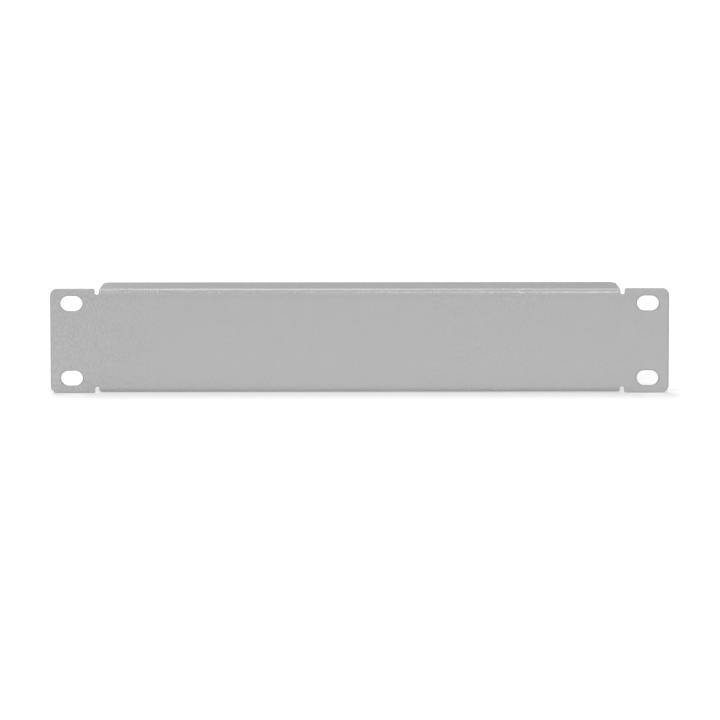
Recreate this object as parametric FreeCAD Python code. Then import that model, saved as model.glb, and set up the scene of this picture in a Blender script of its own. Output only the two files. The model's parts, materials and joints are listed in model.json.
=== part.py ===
import FreeCAD, Part
import os
from math import radians, sqrt, tan

from FreeCAD import Vector

# A blanking panel that closes one unit of a ten-inch rack, folded from one steel sheet.
# X runs across the panel, Z is up, and the front face looks towards -Y.
# The origin is the middle of the four screw slots, on the rear face of the ears,
# which is the face that seats on the posts of the rack.

# Driving dimensions, in millimetres and degrees

hole_pitch_x = 236.525         # between the screws of the left and the right post
hole_to_side_edge = 8.7375     # from a screw to the outer edge of its ear
rack_unit_height = 44.45       # height of the rack opening that the panel closes
hole_to_unit_edge = 6.35       # from a screw to the top or the bottom of that opening
unit_gap = 0.25                # how much lower than the opening the panel is

sheet_thickness = 1.2
inner_bend_radius = 1.0
overall_depth = 12.0           # from the front face to the rear edges of the flanges
fold_inset = 0.25              # how far each folded edge stands inside the edge of the ears

slot_width = 6.5               # lets a rack screw through with room to shift
slot_travel = 2.5              # how much longer than wide the slot is

ear_width = 18.3               # from the side edge to the relief cut
ear_corner_radius = 3.0        # outer corners of the ears
ear_inner_corner_radius = 0.8  # corners of the ears beside the relief cuts

relief_width = 1.6             # gap between an ear and the fold, on the front face
relief_past_bend = 0.1         # how far the relief cut runs past the bend line into the face
relief_roundness = 0.42        # radius of the relief cut's two bottom corners, as a share of its width
flange_end_angle = 9.5         # lean of the flange ends, seen from above
flange_corner_radius = 3.0     # rear corners of the flanges

edge_radius = 0.25             # rounding of the sheet's cut edges under the coating
slot_edge_chamfer = 0.2        # broken edges of the slots, front and rear

# Sizes that follow from them

half_pitch_x = hole_pitch_x / 2
half_pitch_z = rack_unit_height / 2 - hole_to_unit_edge
half_width = half_pitch_x + hole_to_side_edge
half_height = (rack_unit_height - unit_gap) / 2

face_y = -sheet_thickness
flange_rear_y = face_y + overall_depth
outer_bend_radius = inner_bend_radius + sheet_thickness
fold_z = half_height - fold_inset
bend_line_z = fold_z - outer_bend_radius

ear_inner_x = half_width - ear_width
fold_end_x = ear_inner_x - relief_width
relief_middle_x = ear_inner_x - relief_width / 2
relief_bottom_z = bend_line_z - relief_past_bend

# How far a cutting tool reaches past the metal: hardly in front of the face, where the leaning
# tool grows narrow, and well clear of it elsewhere.
tool_lead = 0.2
tool_reach = 5.0

# Two lengths or two directions that differ by less than this are the same.
tolerance = 0.001

ORIGIN = Vector(0, 0, 0)
ACROSS = Vector(1, 0, 0)
BACK = Vector(0, 1, 0)
UP = Vector(0, 0, 1)


def with_mirror_image(shape, normal):
    """The shape and its mirror image in the plane through the origin with this normal."""
    return [shape, shape.mirror(ORIGIN, normal)]


def at_four_corners(shape):
    """The shape, made for the upper right of the panel, there and mirrored to the other corners."""
    right_and_left = with_mirror_image(shape, ACROSS)
    return [copy for side in right_and_left for copy in with_mirror_image(side, UP)]


def is_same(a, b):
    return abs(a - b) < tolerance


def line(start, end):
    return Part.LineSegment(start, end).toShape()


def quarter_arc(start, end, centre):
    """A quarter circle from start to end, which both lie one radius from the centre."""
    middle = centre + (start + end - centre * 2) * sqrt(0.5)
    return Part.Arc(start, middle, end).toShape()


def folded_channel():
    """The face with its two folds and flanges: the outer skin's line, thickened and drawn out in X."""
    x = -relief_middle_x
    bend_centre = Vector(x, inner_bend_radius, bend_line_z)
    bend_start = Vector(x, face_y, bend_line_z)
    bend_end = Vector(x, inner_bend_radius, fold_z)
    flange_rear = Vector(x, flange_rear_y, fold_z)
    upper_half = [line(flange_rear, bend_end), quarter_arc(bend_end, bend_start, bend_centre)]
    lower_half = [edge.mirror(ORIGIN, UP) for edge in reversed(upper_half)]
    face_line = line(bend_start, Vector(x, face_y, -bend_line_z))
    outer_skin = Part.Wire(upper_half + [face_line] + lower_half)
    section = outer_skin.makeOffset2D(-sheet_thickness, 0, True, True)
    return section.extrude(ACROSS * 2 * relief_middle_x)


def ear():
    """The flat ear on the right, as high as the panel, from the middle of the relief cuts outwards."""
    corner = Vector(relief_middle_x, face_y, -half_height)
    return Part.makeBox(half_width - relief_middle_x, sheet_thickness, 2 * half_height, corner)


def relief_cut():
    """The tool for the upper right relief cut.

    It parts the ear from the fold and runs on past the rear of the flange, whose end it cuts off
    with a lean, so the fold and the flange end in one flat cut. Its bottom corners are round.
    """
    front_y = face_y - tool_lead
    rear_y = flange_rear_y + tool_reach
    plan = [Vector(fold_end_at(front_y), front_y, relief_bottom_z),
            Vector(ear_inner_x, front_y, relief_bottom_z),
            Vector(ear_inner_x, rear_y, relief_bottom_z),
            Vector(fold_end_at(rear_y), rear_y, relief_bottom_z)]
    height = half_height - relief_bottom_z + tool_reach
    tool = Part.Face(Part.makePolygon(plan + plan[:1])).extrude(UP * height)
    bottom_corners = [edge for edge in tool.Edges
                      if is_same(edge.BoundBox.ZMax, relief_bottom_z)
                      and edge.BoundBox.YLength > tolerance]
    return tool.makeFillet(relief_width * relief_roundness, bottom_corners)


def fold_end_at(y):
    """Where the right end of the fold and the flange is, at this depth."""
    return fold_end_x - (y - face_y) * tan(radians(flange_end_angle))


def screw_slot():
    """The tool for the upper right slot: a rack screw's hole, drawn out sideways."""
    radius = slot_width / 2
    depth = sheet_thickness + 2 * tool_reach
    front_y = face_y - tool_reach
    ends = [Part.makeCylinder(radius, depth, Vector(half_pitch_x + shift, front_y, half_pitch_z), BACK)
            for shift in (-slot_travel / 2, slot_travel / 2)]
    corner = Vector(half_pitch_x - slot_travel / 2, front_y, half_pitch_z - radius)
    middle = Part.makeBox(slot_travel, depth, slot_width, corner)
    return middle.fuse(ends).removeSplitter()


def with_round_corners(shape, radius, x, y, z):
    """The shape with its four corners at this place, seen from the front or above, made round.

    The place is a value for two of the axes, and None for the axis that the corner edges run along.
    """
    def is_at_place(edge):
        middle = edge.CenterOfMass
        places = ((middle.x, x), (middle.y, y), (middle.z, z))
        return all(at is None or is_same(abs(value), at) for value, at in places)

    return shape.makeFillet(radius, [edge for edge in shape.Edges if is_at_place(edge)])


def is_skin(face):
    """Whether the face is a skin of the sheet, front or rear, flat or folded, and not a cut edge."""
    if isinstance(face.Surface, Part.Cylinder):
        return is_same(abs(face.Surface.Axis.x), 1)
    if not isinstance(face.Surface, Part.Plane):
        return False
    middle = face.CenterOfMass
    normal = face.normalAt(0, 0)
    if is_same(abs(normal.y), 1):
        return is_same(middle.y, face_y) or is_same(middle.y, 0)
    if is_same(abs(normal.z), 1) and middle.y > 0:
        return is_same(abs(middle.z), fold_z) or is_same(abs(middle.z), fold_z - sheet_thickness)
    return False


def cut_edges(sheet):
    """The edges between a skin and a cut face of the sheet."""
    return [edge for edge in sheet.Edges
            if sum(is_skin(face) for face in sheet.ancestorsOfType(edge, Part.Face)) == 1]


def is_round_a_slot(edge):
    """Whether the edge lies within the bounds of one of the slots."""
    middle = edge.CenterOfMass
    half_length = (slot_width + slot_travel) / 2 + tolerance
    half_slot_width = slot_width / 2 + tolerance
    return (abs(abs(middle.x) - half_pitch_x) < half_length
            and abs(abs(middle.z) - half_pitch_z) < half_slot_width)


def blanking_panel():
    """The folded sheet: channel and ears, cut, rounded at its corners, and its edges softened."""
    sheet = folded_channel().fuse(with_mirror_image(ear(), ACROSS)).removeSplitter()
    sheet = sheet.cut(at_four_corners(relief_cut()))
    sheet = with_round_corners(sheet, flange_corner_radius, fold_end_at(flange_rear_y), flange_rear_y, None)
    sheet = with_round_corners(sheet, ear_corner_radius, half_width, None, half_height)
    sheet = with_round_corners(sheet, ear_inner_corner_radius, ear_inner_x, None, half_height)
    sheet = sheet.makeFillet(edge_radius, cut_edges(sheet))
    sheet = sheet.cut(at_four_corners(screw_slot()))
    slot_rims = [edge for edge in cut_edges(sheet) if is_round_a_slot(edge)]
    return sheet.makeChamfer(slot_edge_chamfer, slot_rims)


panel = blanking_panel()
print("solids", len(panel.Solids), "valid", panel.isValid(), "volume in mm3 %.1f" % panel.Volume)
os.makedirs("parts", exist_ok=True)
panel.exportStep("parts/blanking_panel.step")
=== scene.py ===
import json
from math import cos, radians, sin

import bpy
import numpy as np
from bpy.props import FloatProperty, FloatVectorProperty, PointerProperty
from mathutils import Matrix, Vector

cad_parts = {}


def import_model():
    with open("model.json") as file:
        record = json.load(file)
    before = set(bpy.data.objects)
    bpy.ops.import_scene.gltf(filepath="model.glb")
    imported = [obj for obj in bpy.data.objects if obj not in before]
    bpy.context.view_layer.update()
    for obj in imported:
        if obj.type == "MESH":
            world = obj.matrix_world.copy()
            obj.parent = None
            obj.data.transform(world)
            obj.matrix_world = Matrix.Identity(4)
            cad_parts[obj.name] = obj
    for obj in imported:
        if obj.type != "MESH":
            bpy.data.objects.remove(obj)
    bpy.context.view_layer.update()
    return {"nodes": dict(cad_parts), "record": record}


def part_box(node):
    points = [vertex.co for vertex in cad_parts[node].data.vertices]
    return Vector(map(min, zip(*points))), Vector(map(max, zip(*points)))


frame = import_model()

bl_info = {
    "name": "Rack Blanking Panel Finish",
    "version": (1, 0, 0),
    "blender": (4, 5, 0),
    "location": "View3D > Sidebar > Panel",
    "description": "Powder coat and studio for a folded rack blanking panel",
    "category": "Object",
}

PANEL_NODE = "blanking_panel"
COAT_SLOT = "powder_coat"
RECORD_COAT = next(m for m in frame["record"]["materials"] if m["slot"] == COAT_SLOT)

WHITE = (1.0, 1.0, 1.0, 1.0)

# The slots, in metres, as the record gives them
SCREWS = next(m for m in frame["record"]["mounts"] if m["name"] == "rack_screws")["dims"]
SLOT_PITCH_X = SCREWS["spacing_x_mm"] / 1000
SLOT_PITCH_Z = SCREWS["spacing_y_mm"] / 1000
SLOT_RADIUS = SCREWS["hole_r_mm"] / 1000
SLOT_TRAVEL = SCREWS["slot_length_mm"] / 1000 - 2 * SLOT_RADIUS

# The panel's height, in metres: its middle is at the origin
PANEL_HEIGHT = 2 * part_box(PANEL_NODE)[1].z

# What is further than this from the panel's middle, in metres, is ear and not fold
EAR_START = 0.1084

# A strip of painted shade across the panel at the foot of the upper bend, standing in for the
# shade of the bending die's mark, in metres above the middle: where it starts, where it is full,
# where it starts to fade, and where it ends
DIE_SHADE_STRIP = (0.0175, 0.0186, 0.0193, 0.02)

# Where the painted shade on the rims changes from the left ear's to the right ear's, in metres
LEFT_TO_RIGHT = (-0.1, 0.1)

# The rims' band of painted shade fades out at this many times its width. Round a slot it starts and
# is full at these heights from the slot's middle, as shares of the slot's radius.
RIM_FADE = 1.6
RIM_START = -0.9
RIM_FULL = -0.3

# How much of a surface's direction points sideways or down, on the skins at most and on cut edges
# at least, for the shade painted on the edges that face away from the lamps
SKIN_LEAN = 0.2
CUT_LEAN = 0.7

# Share of its reach over which the patch of stronger orange peel has its full strength
PATCH_CORE = 0.3

# The floor, in metres: from its middle to its sides, the height of the backdrop round it, and the
# distances from the panel over which the near and the far glow rise
FLOOR_REACH = 5.5
BACKDROP_HEIGHT = 0.45
NEAR_RISE = (0.004, 0.012)
FAR_RISE = (0.12, 0.45)

# The card on the floor, in metres: how far it reaches out from the panel, its length, and its gap
# above the floor
CARD_DEPTH = 0.037
CARD_LENGTH = 1.0
CARD_GAP = 0.0003

# The camera's sensor, in millimetres, and how far it sees, in metres
SENSOR_WIDTH = 36.0
VIEW_DEPTH = 100.0


# Settings


class PowderCoatSettings(bpy.types.PropertyGroup):
    """The coat: its colour, its gloss, its orange-peel surface and the places where shade is painted on
    it.
    """

    colour: FloatVectorProperty(
        name="Colour", description="Colour of the coat", subtype="COLOR", size=3,
        min=0.0, max=1.0, default=RECORD_COAT["base_color"][:3])
    # The mottling follows the orange peel's dimples, and is their shade painted into the colour
    mottling: FloatProperty(
        name="Mottling", description="How far the colour varies from dimple to dimple, as a share of it",
        default=0.108, min=0.0, max=0.5, subtype="FACTOR")
    cloudiness: FloatProperty(
        name="Cloudiness", description="How far the colour varies over broader patches, as a share of it",
        default=0.036, min=0.0, max=0.5, subtype="FACTOR")
    cloud_size: FloatProperty(
        name="Cloud Size", description="Width of those patches", default=0.006, min=0.0001, unit="LENGTH",
        precision=4)
    roughness: FloatProperty(
        name="Roughness", description="Roughness of the coat, half way between its smooth and dull spots",
        default=0.24, min=0.0, max=1.0, subtype="FACTOR")
    roughness_range: FloatProperty(
        name="Roughness Range", description="Difference between dull and smooth spots",
        default=0.08, min=0.0, max=1.0, subtype="FACTOR")
    specular_level: FloatProperty(
        name="Specular Level", description="How strongly the coat mirrors, where 0.5 is plain plastic",
        default=0.95, min=0.0, max=1.0, subtype="FACTOR")
    peel_size: FloatProperty(
        name="Peel Size", description="Width of the orange peel's dimples", default=0.0006,
        min=0.0001, unit="LENGTH", precision=5)
    peel_stretch: FloatProperty(
        name="Peel Stretch", description="How many times taller than wide the dimples are", default=2.2,
        min=0.1)
    peel_height: FloatProperty(
        name="Peel Height", description="Height of the orange peel from its dimples to its tops",
        default=0.000096, min=0.0, unit="LENGTH", precision=6)
    # The gains below strengthen the orange peel's relief, and through the mottling its painted shade
    coarse_gain: FloatProperty(
        name="Coarse Gain", description="How many times stronger the orange peel is at the left end",
        default=3.33, min=1.0)
    coarse_start: FloatProperty(
        name="Coarse Start", description="How far left of the middle the orange peel starts to strengthen",
        default=0.07, min=0.0, unit="LENGTH", precision=4)
    coarse_end: FloatProperty(
        name="Coarse End", description="How far left of the middle it has its full strength",
        default=0.115, min=0.0, unit="LENGTH", precision=4)
    patch_gain: FloatProperty(
        name="Patch Gain", description="How many times stronger it is in a patch on the right",
        default=1.75, min=1.0)
    patch_place: FloatProperty(
        name="Patch Place", description="How far right of the middle that patch is", default=0.055,
        unit="LENGTH", precision=4)
    patch_reach: FloatProperty(
        name="Patch Reach", description="How far from its middle the patch reaches to either side",
        default=0.036, min=0.001, unit="LENGTH", precision=4)
    grain_size: FloatProperty(
        name="Grain Size", description="Width of the grain that the powder leaves", default=0.0004,
        min=0.0001, unit="LENGTH", precision=5)
    grain_height: FloatProperty(
        name="Grain Height", description="Height of the grain", default=0.000006,
        min=0.0, unit="LENGTH", precision=6)
    # Painted shade: this fade darkens the coat towards the top, standing in for light that is weaker there
    fade: FloatProperty(
        name="Fade", description="How much darker the coat is at the top than at the bottom, as a share",
        default=0.09, min=0.0, max=1.0, subtype="FACTOR")
    # Painted shade on the strip of the bending die's mark
    painted_die_shade_share: FloatProperty(
        name="Die Mark Shade", description="How much darker the mark is that the bending die left",
        default=0.03, min=0.0, max=1.0, subtype="FACTOR")
    # Painted shade on the cut edges that face sideways or down
    painted_edge_shade: FloatProperty(
        name="Edge Shade", description="How much darker the cut edges are, as a share",
        default=0.4, min=0.0, max=1.0, subtype="FACTOR")
    rim_width: FloatProperty(
        name="Rim Width", description="Width of the darker band beside a cut edge",
        default=0.00038, min=0.0, unit="LENGTH", precision=5)
    # Painted shade in a band beside the cut edges, deeper on the right ear than on the left
    painted_rim_shade: FloatVectorProperty(
        name="Rim Shade", description="How much darker that band is, on the left and on the right ear",
        default=(0.1, 0.21), size=2, min=0.0, max=1.0, subtype="NONE")


class StudioSettings(bpy.types.PropertyGroup):
    """The camera, the lights, the floor and its backdrop."""

    camera_distance: FloatProperty(
        name="Camera Distance", description="From the camera to the point that it looks at",
        default=4.368, min=0.1, unit="LENGTH")
    camera_elevation: FloatProperty(
        name="Camera Elevation", description="Height of the camera above the horizon, as an angle",
        default=radians(15.27), subtype="ANGLE")
    camera_roll: FloatProperty(
        name="Camera Roll", description="Turn of the camera about its line of sight",
        default=radians(-0.055), subtype="ANGLE")
    camera_lens: FloatProperty(
        name="Lens", description="Focal length on a sensor 36 mm wide", default=531.7, min=1.0,
        unit="CAMERA")
    aim: FloatVectorProperty(
        name="Aim",
        description="How far right of and above the origin the camera looks, in the image plane",
        default=(0.000136, -0.00816), size=2, unit="LENGTH", precision=5)
    world_strength: FloatProperty(
        name="World Strength", description="Strength of the even light from all round",
        default=0.305, min=0.0)
    key_power: FloatProperty(
        name="Key Power", description="Power of the soft box on the upper left, in watts",
        default=3.6, min=0.0)
    low_power: FloatProperty(
        name="Low Power", description="Power of the card that lies before the panel, in watts",
        default=0.0137, min=0.0)
    top_power: FloatProperty(
        name="Top Power", description="Power of the soft box above and behind, in watts",
        default=6.9, min=0.0)
    right_power: FloatProperty(
        name="Right Power", description="Power of the soft box on the upper right, in watts",
        default=1.8, min=0.0)
    strip_power: FloatProperty(
        name="Strip Power",
        description="Power of the strip light that the right of the bend mirrors, in watts",
        default=2.6, min=0.0)
    floor_grey: FloatProperty(
        name="Floor", description="How much light the floor sends back", default=0.8, min=0.0,
        max=1.0, subtype="FACTOR")
    # Painted shadow: the floor glows less at the panel than a few millimetres off
    contact_glow: FloatProperty(
        name="Contact Glow",
        description="Glow of the floor at the panel, for the rays that show the background",
        default=0.25, min=0.0)
    near_glow: FloatProperty(
        name="Near Glow", description="How much more it glows a few millimetres away",
        default=0.13, min=0.0)
    far_glow: FloatProperty(
        name="Far Glow", description="How much more it glows far from the panel, where the lamps fade",
        default=0.5, min=0.0)


# Shader nodes


class Value:
    """A number in a shader: a node's output socket, with the arithmetic that adds Math nodes."""

    def __init__(self, nodes, socket):
        self.nodes = nodes
        self.socket = socket

    def _math(self, operation, first, second):
        return self.nodes.add("ShaderNodeMath", {"operation": operation}, {0: first, 1: second})

    def __add__(self, other):
        return self._math("ADD", self, other)

    def __sub__(self, other):
        return self._math("SUBTRACT", self, other)

    def __rsub__(self, other):
        return self._math("SUBTRACT", other, self)

    def __mul__(self, other):
        return self._math("MULTIPLY", self, other)

    def __abs__(self):
        return self.nodes.add("ShaderNodeMath", {"operation": "ABSOLUTE"}, {0: self})

    def at_least(self, other):
        """The larger of this value and the other."""
        return self._math("MAXIMUM", self, other)


class Nodes:
    """The node tree of a material or of the world, emptied, with one method that adds any node."""

    def __init__(self, owner):
        owner.use_nodes = True
        self.tree = owner.node_tree
        self.tree.nodes.clear()

    def add(self, kind, settings=None, inputs=None, output=0):
        """Adds a node: first its settings, then a value or a link for each of its sockets."""
        node = self.tree.nodes.new(kind)
        for name, value in (settings or {}).items():
            setattr(node, name, value)
        for name, value in (inputs or {}).items():
            if isinstance(value, Value):
                self.tree.links.new(value.socket, node.inputs[name])
            else:
                node.inputs[name].default_value = value
        return Value(self, node.outputs[output]) if node.outputs else None


def object_noise(nodes, place, size, stretch=1.0):
    """Noise from -0.5 to 0.5 with features of this width, in metres, at this place on the object.

    The stretch makes them that many times taller than wide.
    """
    place = nodes.add("ShaderNodeMapping", {"vector_type": "POINT"},
                      {"Vector": place, "Scale": (1.0, 1.0, 1.0 / stretch)})
    noise = nodes.add("ShaderNodeTexNoise", {"noise_dimensions": "3D"},
                      {"Vector": place, "Scale": 1.0 / size, "Detail": 0.0}, "Fac")
    return noise - 0.5


def smooth_step(nodes, value, start, end):
    """0 at the start and 1 at the end, with a smooth rise between them and no change past them.

    A start above the end makes it fall as the value grows.
    """
    return nodes.add("ShaderNodeMapRange", {"interpolation_type": "SMOOTHSTEP"},
                     {"Value": value, "From Min": start, "From Max": end})


def split(nodes, vector):
    """The X, the Y and the Z of a vector."""
    node = nodes.add("ShaderNodeSeparateXYZ", None, {"Vector": vector}).socket.node
    return [Value(nodes, socket) for socket in node.outputs]


def slot_places(nodes, place):
    """How far a spot is outside the rim of the nearest slot, and how far above that slot's middle."""
    across, _, up = split(nodes, place)
    upper_or_lower = nodes.add("ShaderNodeMath", {"operation": "SIGN"}, {0: up})
    beside = abs(abs(across) - SLOT_PITCH_X / 2) - SLOT_TRAVEL / 2
    above = up - upper_or_lower * (SLOT_PITCH_Z / 2)
    offset = nodes.add("ShaderNodeCombineXYZ", None, {"X": beside.at_least(0.0), "Y": above})
    distance = nodes.add("ShaderNodeVectorMath", {"operation": "LENGTH"}, {0: offset}, "Value")
    return distance - SLOT_RADIUS, above


def rims(nodes, place, width):
    """1 in a band of this width along the ears' outer edges and round the slots, where shade is painted,
    and 0 elsewhere.

    The slots' lower rims look up, into the light, and the band leaves them out.
    """
    across, _, _ = split(nodes, place)
    from_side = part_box(PANEL_NODE)[1].x - abs(across)
    from_slot, above_slot = slot_places(nodes, place)
    fade = RIM_FADE * width
    beside_edge = 1.0 - smooth_step(nodes, from_side, width, fade)
    round_slot = 1.0 - smooth_step(nodes, from_slot, width, fade)
    not_below = smooth_step(nodes, above_slot, RIM_START * SLOT_RADIUS, RIM_FULL * SLOT_RADIUS)
    return beside_edge.at_least(round_slot * not_below)


def edges_in_painted_shade(nodes, place):
    """1 on cut edges that look sideways, and on the ears' that look down, where shade is painted for the
    way they face, and 0 elsewhere.
    """
    sideways, _, upwards = split(nodes, nodes.add("ShaderNodeTexCoord", output="Normal"))
    across, _, _ = split(nodes, place)
    is_ear = nodes.add("ShaderNodeMath", {"operation": "GREATER_THAN"}, {0: abs(across), 1: EAR_START})
    looks_sideways = smooth_step(nodes, abs(sideways), SKIN_LEAN, CUT_LEAN)
    looks_down = smooth_step(nodes, 0.0 - upwards, SKIN_LEAN, CUT_LEAN)
    return looks_sideways.at_least(looks_down * is_ear)


def painted_die_shade(nodes, place):
    """1 on a strip across the panel under the upper bend, which gets the painted shade of the bending
    die's mark, and 0 elsewhere.
    """
    _, _, up = split(nodes, place)
    start, full, fading, end = DIE_SHADE_STRIP
    return smooth_step(nodes, up, start, full) * smooth_step(nodes, up, end, fading)


def peel_gain(nodes, place, settings):
    """How many times stronger the orange peel is, in its relief and in its painted shade: at the left end,
    and in a patch on the right.
    """
    across, _, _ = split(nodes, place)
    left_end = smooth_step(nodes, 0.0 - across, settings.coarse_start, settings.coarse_end)
    from_patch = abs(across - settings.patch_place)
    core = PATCH_CORE * settings.patch_reach
    patch = 1.0 - smooth_step(nodes, from_patch, core, settings.patch_reach)
    return left_end * (settings.coarse_gain - 1.0) + patch * (settings.patch_gain - 1.0) + 1.0


def coat_tone(nodes, place, peel, settings):
    """The coat's tone as a share of its colour, with painted shade: the dimples' mottling, a fade upwards,
    the die's strip, the cut edges and the bands beside them; and random broader patches.
    """
    across, _, up = split(nodes, place)
    cloud = object_noise(nodes, place, settings.cloud_size)
    is_right = smooth_step(nodes, across, *LEFT_TO_RIGHT)
    left_rim, right_rim = settings.painted_rim_shade
    painted_rim_shade = is_right * (right_rim - left_rim) + left_rim
    # Mottling: painted shade of the dimples, with random broader patches
    tone = peel * settings.mottling + cloud * settings.cloudiness + 1.0
    # Painted shade, darker towards the top
    tone = tone * (1.0 - up * (settings.fade / PANEL_HEIGHT))
    # Painted shade on the strip of the bending die's mark, under the upper bend
    tone = tone * (1.0 - painted_die_shade(nodes, place) * settings.painted_die_shade_share)
    # Painted shade on the cut edges that face sideways or down
    tone = tone * (1.0 - edges_in_painted_shade(nodes, place) * settings.painted_edge_shade)
    # Painted shade in a band beside the cut edges
    return tone * (1.0 - rims(nodes, place, settings.rim_width) * painted_rim_shade)


def powder_coat(settings):
    """The light grey coat: orange peel and grain, a gloss that varies a little, and a colour that varies a
    little and carries painted shade.
    """
    material = bpy.data.materials.new("Light grey powder coat")
    nodes = Nodes(material)
    place = nodes.add("ShaderNodeTexCoord", output="Object")
    peel = object_noise(nodes, place, settings.peel_size, settings.peel_stretch)
    peel = peel * peel_gain(nodes, place, settings)
    grain = object_noise(nodes, place, settings.grain_size)
    colour = nodes.add("ShaderNodeVectorMath", {"operation": "SCALE"},
                       {0: tuple(settings.colour), "Scale": coat_tone(nodes, place, peel, settings)})
    height = peel * settings.peel_height + grain * settings.grain_height
    relief = nodes.add("ShaderNodeBump", None, {"Strength": 1.0, "Distance": 1.0, "Height": height})
    roughness = grain * settings.roughness_range + settings.roughness
    shader = nodes.add("ShaderNodeBsdfPrincipled", None,
                       {"Base Color": colour, "Roughness": roughness, "Normal": relief,
                        "Specular IOR Level": settings.specular_level})
    nodes.add("ShaderNodeOutputMaterial", None, {"Surface": shader})
    return material


# Stage


def link(item):
    """Puts the object into the scene, and gives it back."""
    bpy.context.scene.collection.objects.link(item)
    return item


def soft_box(name, place, target, width, height, power, spin=0.0):
    """A rectangular lamp that looks from its place at a target, turned about that line by its spin."""
    lamp = bpy.data.lights.new(name, "AREA")
    lamp.shape = "RECTANGLE"
    lamp.size = width
    lamp.size_y = height
    lamp.energy = power
    item = link(bpy.data.objects.new(name, lamp))
    turn = (Vector(target) - Vector(place)).to_track_quat("-Z", "Y")
    item.matrix_world = (Matrix.Translation(place) @ turn.to_matrix().to_4x4()
                         @ Matrix.Rotation(spin, 4, "Z"))
    item.visible_camera = False


def camera(settings):
    """A long lens at the photograph's angle, aimed a little off the origin."""
    elevation = settings.camera_elevation
    back = Vector((0.0, -cos(elevation), sin(elevation)))
    up = Vector((0.0, sin(elevation), cos(elevation)))
    right = Vector((1.0, 0.0, 0.0))
    target = settings.aim[0] * right + settings.aim[1] * up
    lens = bpy.data.cameras.new("Camera")
    lens.lens = settings.camera_lens
    lens.sensor_width = SENSOR_WIDTH
    lens.clip_end = VIEW_DEPTH
    item = link(bpy.data.objects.new("Camera", lens))
    turn = Matrix((right, up, back)).transposed() @ Matrix.Rotation(settings.camera_roll, 3, "Z")
    item.matrix_world = Matrix.Translation(target + settings.camera_distance * back) @ turn.to_4x4()
    bpy.context.scene.camera = item


def is_ray(nodes, *kinds):
    """1 for a ray of one of these kinds, which are outputs of the Light Path node, and 0 for others."""
    outputs = nodes.add("ShaderNodeLightPath").socket.node.outputs
    total = Value(nodes, outputs[kinds[0]])
    for kind in kinds[1:]:
        total = total.at_least(Value(nodes, outputs[kind]))
    return total


def floor_glow(nodes, settings):
    """How strongly the floor glows, which rises with the distance from the panel: the weaker glow at the
    panel is a painted contact shadow.
    """
    place = nodes.add("ShaderNodeTexCoord", output="Object")
    across, back, _ = split(nodes, place)
    beside = (abs(across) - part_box(PANEL_NODE)[1].x).at_least(0.0)
    offset = nodes.add("ShaderNodeCombineXYZ", None, {"X": beside, "Y": back})
    distance = nodes.add("ShaderNodeVectorMath", {"operation": "LENGTH"}, {0: offset}, "Value")
    # The near rise paints a contact shadow at the panel
    near = smooth_step(nodes, distance, *NEAR_RISE) * settings.near_glow
    far = smooth_step(nodes, distance, *FAR_RISE) * settings.far_glow
    return near + far + settings.contact_glow


def pale_floor(settings):
    """Matt and pale, with a glow for the rays that show the background and for no others."""
    material = bpy.data.materials.new("Pale floor")
    nodes = Nodes(material)
    matt = nodes.add("ShaderNodeBsdfPrincipled", None,
                     {"Base Color": (settings.floor_grey,) * 3 + (1.0,), "Specular IOR Level": 0.0})
    seen = is_ray(nodes, "Is Camera Ray", "Is Glossy Ray", "Is Transmission Ray")
    glow = nodes.add("ShaderNodeEmission", None,
                     {"Color": WHITE, "Strength": seen * floor_glow(nodes, settings)})
    both = nodes.add("ShaderNodeAddShader", None, {0: matt, 1: glow})
    nodes.add("ShaderNodeOutputMaterial", None, {"Surface": both})
    return material


def floor(settings):
    """A plain pale floor under the lower edges of the ears, with a low backdrop all round it.

    The backdrop is only as high as a camera at eye level needs, because the flange mirrors what is
    higher up, and would come out too bright.
    """
    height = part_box(PANEL_NODE)[0].z
    corners = np.array([(-1, -1), (1, -1), (1, 1), (-1, 1)]) * FLOOR_REACH
    foot = np.column_stack([corners, np.full(4, height)])
    top = foot + (0.0, 0.0, BACKDROP_HEIGHT)
    sides = [(i, (i + 1) % 4, (i + 1) % 4 + 4, i + 4) for i in range(4)]
    mesh = bpy.data.meshes.new("floor")
    mesh.from_pydata(np.vstack([foot, top]).tolist(), [], [(0, 1, 2, 3), *sides])
    item = link(bpy.data.objects.new("floor", mesh))
    mesh.materials.append(pale_floor(settings))


def world(settings):
    """Even light from all round, the same for every ray: the white is the floor's and backdrop's."""
    surroundings = bpy.data.worlds.new("Studio")
    bpy.context.scene.world = surroundings
    nodes = Nodes(surroundings)
    sky = nodes.add("ShaderNodeBackground", None,
                    {"Color": WHITE, "Strength": settings.world_strength})
    nodes.add("ShaderNodeOutputWorld", None, {"Surface": sky})


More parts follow.
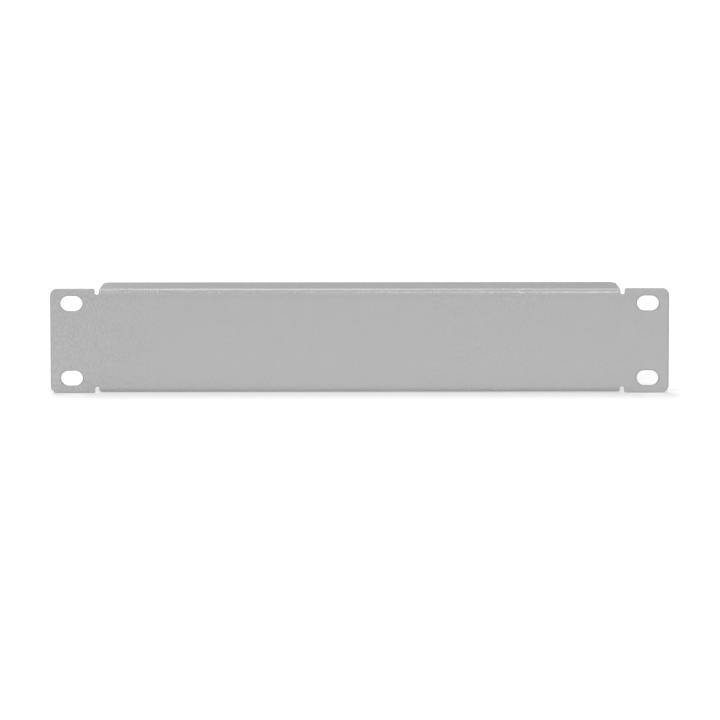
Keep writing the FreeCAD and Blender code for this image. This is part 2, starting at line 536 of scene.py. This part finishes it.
def lights(settings):
    """Two lamps in front, one above and behind, a strip for the upper bend and a card for the lower."""
    middle = (0.0, 0.0, 0.0)
    soft_box("Key soft box", (-0.9, -0.8, 0.9), middle, width=0.5, height=0.5,
             power=settings.key_power)
    soft_box("Right soft box", (0.5, -0.9, 0.95), middle, width=0.5, height=0.5,
             power=settings.right_power)
    soft_box("Top soft box", (-0.24, 0.4, 1.0), (-0.1, 0.0, 0.0), width=0.75, height=1.15,
             power=settings.top_power, spin=radians(15.0))
    soft_box("Strip light", (0.16, -0.83, 0.55), (0.16, 0.0, 0.0), width=0.12, height=0.72,
             power=settings.strip_power)
    card_y = -CARD_DEPTH / 2
    card_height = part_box(PANEL_NODE)[0].z + CARD_GAP
    soft_box("Low card", (0.0, card_y, card_height), (0.0, card_y, 1.0), width=CARD_LENGTH,
             height=CARD_DEPTH, power=settings.low_power)


# Operators


class PANEL_OT_powder_coat(bpy.types.Operator):
    """Coats the folded sheet"""

    bl_idname = "panel.powder_coat"
    bl_label = "Powder Coat"

    def execute(self, context):
        sheet = frame["nodes"][PANEL_NODE]
        sheet.data.materials.clear()
        sheet.data.materials.append(powder_coat(context.scene.powder_coat))
        return {"FINISHED"}


class PANEL_OT_stage(bpy.types.Operator):
    """Sets up the camera, the lights, the floor and the surroundings"""

    bl_idname = "panel.stage"
    bl_label = "Stage"

    def execute(self, context):
        settings = context.scene.studio
        camera(settings)
        lights(settings)
        floor(settings)
        world(settings)
        context.scene.view_settings.view_transform = "Standard"
        return {"FINISHED"}


class PANEL_PT_sidebar(bpy.types.Panel):
    """Lists the steps"""

    bl_idname = "PANEL_PT_sidebar"
    bl_label = "Rack Blanking Panel"
    bl_space_type = "VIEW_3D"
    bl_region_type = "UI"
    bl_category = "Panel"

    def draw(self, context):
        for operator in OPERATORS:
            self.layout.operator(operator.bl_idname)


OPERATORS = (PANEL_OT_powder_coat, PANEL_OT_stage)
CLASSES = (PowderCoatSettings, StudioSettings, *OPERATORS, PANEL_PT_sidebar)


def register():
    """Makes the settings, the operators and the sidebar known to Blender."""
    for item in CLASSES:
        bpy.utils.register_class(item)
    bpy.types.Scene.powder_coat = PointerProperty(type=PowderCoatSettings)
    bpy.types.Scene.studio = PointerProperty(type=StudioSettings)


def unregister():
    """Takes them out again, the last one first."""
    del bpy.types.Scene.studio
    del bpy.types.Scene.powder_coat
    for item in reversed(CLASSES):
        bpy.utils.unregister_class(item)


def main():
    register()
    bpy.ops.panel.powder_coat()
    bpy.ops.panel.stage()


if __name__ == "__main__":
    main()
